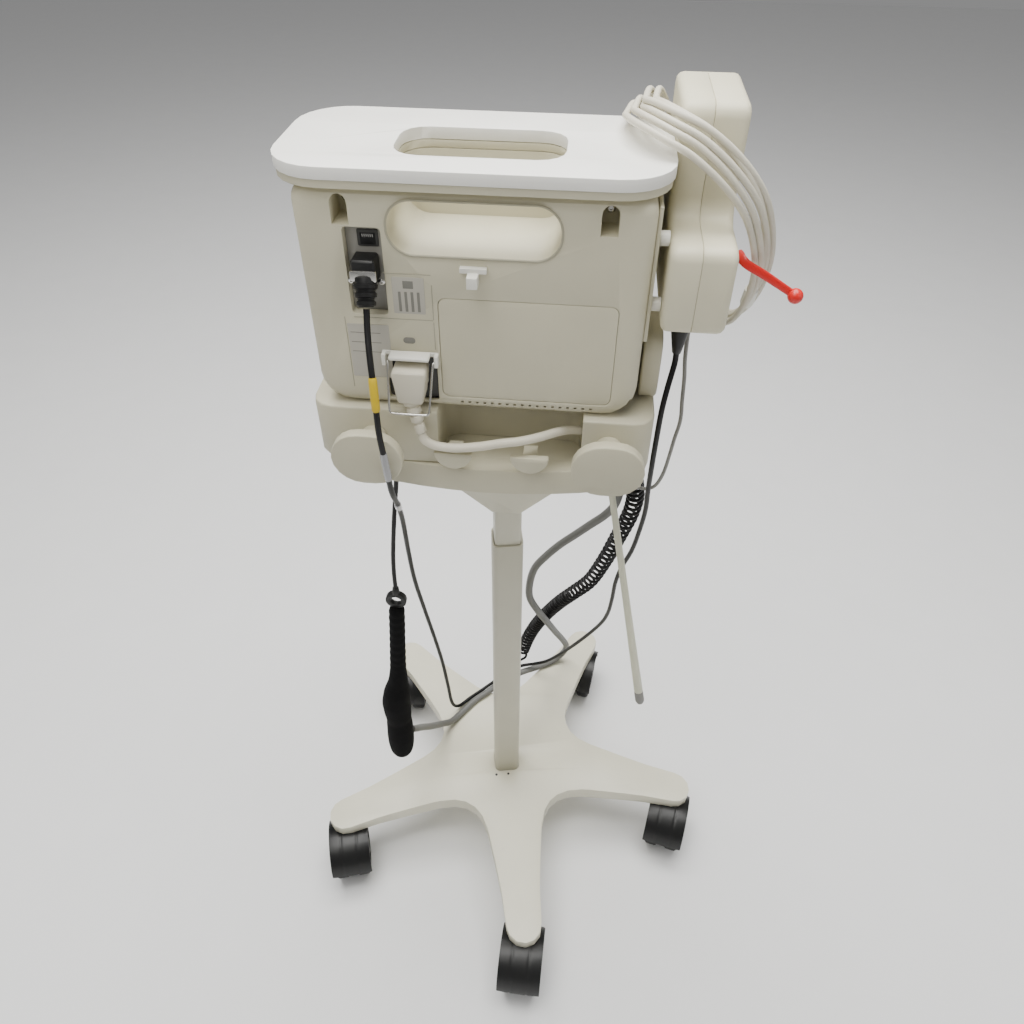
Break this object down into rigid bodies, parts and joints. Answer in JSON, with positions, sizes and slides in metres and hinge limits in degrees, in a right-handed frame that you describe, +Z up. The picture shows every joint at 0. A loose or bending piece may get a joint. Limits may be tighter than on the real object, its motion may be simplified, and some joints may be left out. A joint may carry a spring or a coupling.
{
  "type": "patient monitor on a roll stand",
  "caption": "Bedside patient monitor with a side dock on a flared square pole and a five-leg base with twin-wheel casters, cords and a hanging hand unit, seen from its connector side.",
  "frame": {"origin": "floor level, under the middle of the whole stand measured without its cords", "axes": "+Z up, the screen looks along +Y, the connector side looks along -Y, +X is to the right when facing the connector side"},
  "size_m": [0.5215, 0.5538, 1.02],
  "materials": {
    "black_fabric": "black woven cover",
    "black_plastic": "black plastic",
    "black_rubber": "black cord jacket",
    "board_green": "circuit board",
    "cream_plastic": "cream plastic",
    "dark_plastic": "dark grey plastic",
    "grey_plastic": "light grey plastic",
    "grey_rubber": "grey soft plastic",
    "hose_rubber": "grey air hose",
    "ivory_paint": "satin warm ivory paint",
    "ivory_plastic": "fine-textured ivory plastic",
    "red_plastic": "red tag",
    "screen_glass": "dark display front",
    "steel_grey": "folded steel case",
    "steel_wire": "bright steel wire",
    "tyre_rubber": "black caster tyre",
    "white_plastic": "smooth off-white plastic",
    "white_rubber": "white cord jacket"
  },
  "bodies": {
    "stand": {"base_casting": "ivory_paint", "pole": "ivory_paint", "neck": "ivory_paint", "tray_pan": "ivory_plastic", "tray_deck": "ivory_plastic", "tray_cheek": "ivory_plastic", "cord_horn_left": "ivory_plastic", "cord_horn_right": "ivory_plastic", "socket_bar": "ivory_plastic", "hand_gland": "black_plastic", "rear_housing": "ivory_plastic", "cap_rim": "ivory_plastic", "top_cap": "white_plastic", "front_bezel": "white_plastic", "display_panel": "screen_glass", "battery_pack": "dark_plastic", "main_board": "board_green", "power_supply": "steel_grey", "port_insert": "grey_plastic", "data_plug": "black_plastic", "cord_peg": "white_plastic", "mains_inlet": "dark_plastic", "inlet_hood": "white_plastic", "mains_plug": "cream_plastic", "dock_inner_shell": "ivory_plastic", "dock_outer_shell": "ivory_plastic", "dock_board": "board_green", "side_bracket": "dark_plastic", "standoff_1": "white_plastic", "standoff_2": "white_plastic", "standoff_3": "white_plastic", "dock_relief": "black_plastic", "hand_unit": "black_fabric", "hang_ring": "black_plastic", "red_tag": "red_plastic", "data_lead": "black_rubber", "air_hose": "hose_rubber", "curly_cord": "black_rubber", "curly_cord_top_tail": "black_rubber", "curly_cord_end_tail": "black_rubber", "sensor_lead": "grey_rubber", "mains_lead": "cream_plastic", "hand_lead": "black_rubber", "patient_lead_hank": "white_rubber"},
    "swivel_front": {"caster_hood_front": "black_plastic"},
    "wheels_front": {"wheel_pair_front": "tyre_rubber"},
    "swivel_right": {"caster_hood_right": "black_plastic"},
    "wheels_right": {"wheel_pair_right": "tyre_rubber"},
    "swivel_rear_right": {"caster_hood_rear_right": "black_plastic"},
    "wheels_rear_right": {"wheel_pair_rear_right": "tyre_rubber"},
    "swivel_rear_left": {"caster_hood_rear_left": "black_plastic"},
    "wheels_rear_left": {"wheel_pair_rear_left": "tyre_rubber"},
    "swivel_left": {"caster_hood_left": "black_plastic"},
    "wheels_left": {"wheel_pair_left": "tyre_rubber"},
    "door": {"battery_door": "ivory_plastic"},
    "bail": {"retainer_bail": "steel_wire"},
    "button": {"power_button": "grey_plastic"},
    "probe": {"wand": "white_plastic", "wand_tip": "grey_rubber"}
  },
  "joints": [
    {"name": "caster_swivel_front", "type": "hinge", "parent": "stand", "child": "swivel_front", "pos_m": [0.03216, -0.21291, 0.085], "axis": [0, 0, 1], "continuous": true},
    {"name": "caster_roll_front", "type": "hinge", "parent": "swivel_front", "child": "wheels_front", "pos_m": [0.03139, -0.23489, 0.03732], "axis": [0.9994, -0.0349, 0], "continuous": true},
    {"name": "caster_swivel_right", "type": "hinge", "parent": "stand", "child": "swivel_right", "pos_m": [0.2313, -0.00158, 0.085], "axis": [0, 0, 1], "continuous": true},
    {"name": "caster_roll_right", "type": "hinge", "parent": "swivel_right", "child": "wheels_right", "pos_m": [0.22672, -0.0231, 0.03732], "axis": [0.9781, -0.2079, 0], "continuous": true},
    {"name": "caster_swivel_rear_right", "type": "hinge", "parent": "stand", "child": "swivel_rear_right", "pos_m": [0.09186, 0.25311, 0.085], "axis": [0, 0, 1], "continuous": true},
    {"name": "caster_roll_rear_right", "type": "hinge", "parent": "swivel_rear_right", "child": "wheels_rear_right", "pos_m": [0.08804, 0.23144, 0.03732], "axis": [0.9848, -0.1736, 0], "continuous": true},
    {"name": "caster_swivel_rear_left", "type": "hinge", "parent": "stand", "child": "swivel_rear_left", "pos_m": [-0.19346, 0.1992, 0.085], "axis": [0, 0, 1], "continuous": true},
    {"name": "caster_roll_rear_left", "type": "hinge", "parent": "swivel_rear_left", "child": "wheels_rear_left", "pos_m": [-0.19193, 0.17725, 0.03732], "axis": [0.9976, 0.0698, 0], "continuous": true},
    {"name": "caster_swivel_left", "type": "hinge", "parent": "stand", "child": "swivel_left", "pos_m": [-0.23036, -0.08882, 0.085], "axis": [0, 0, 1], "continuous": true},
    {"name": "caster_roll_left", "type": "hinge", "parent": "swivel_left", "child": "wheels_left", "pos_m": [-0.22429, -0.10996, 0.03732], "axis": [0.9613, 0.2756, 0], "continuous": true},
    {"name": "battery_door_hinge", "type": "hinge", "parent": "stand", "child": "door", "pos_m": [0.0101, -0.0747, 0.8057], "axis": [1, 0, 0], "range_deg": [0, 70]},
    {"name": "plug_retainer_hinge", "type": "hinge", "parent": "stand", "child": "bail", "pos_m": [-0.0825, -0.0787, 0.839], "axis": [-1, 0, 0], "range_deg": [0, 95]},
    {"name": "power_button_press", "type": "slide", "parent": "stand", "child": "button", "axis": [0, -1, 0], "range_m": [0, 0.0012], "stiffness_N_per_m": 600, "springref_m": -0.0008},
    {"name": "wand_swing", "type": "hinge", "parent": "stand", "child": "probe", "pos_m": [0.0881, -0.0137, 0.6885], "axis": [0, 1, 0], "range_deg": [-12, 12]}
  ]
}
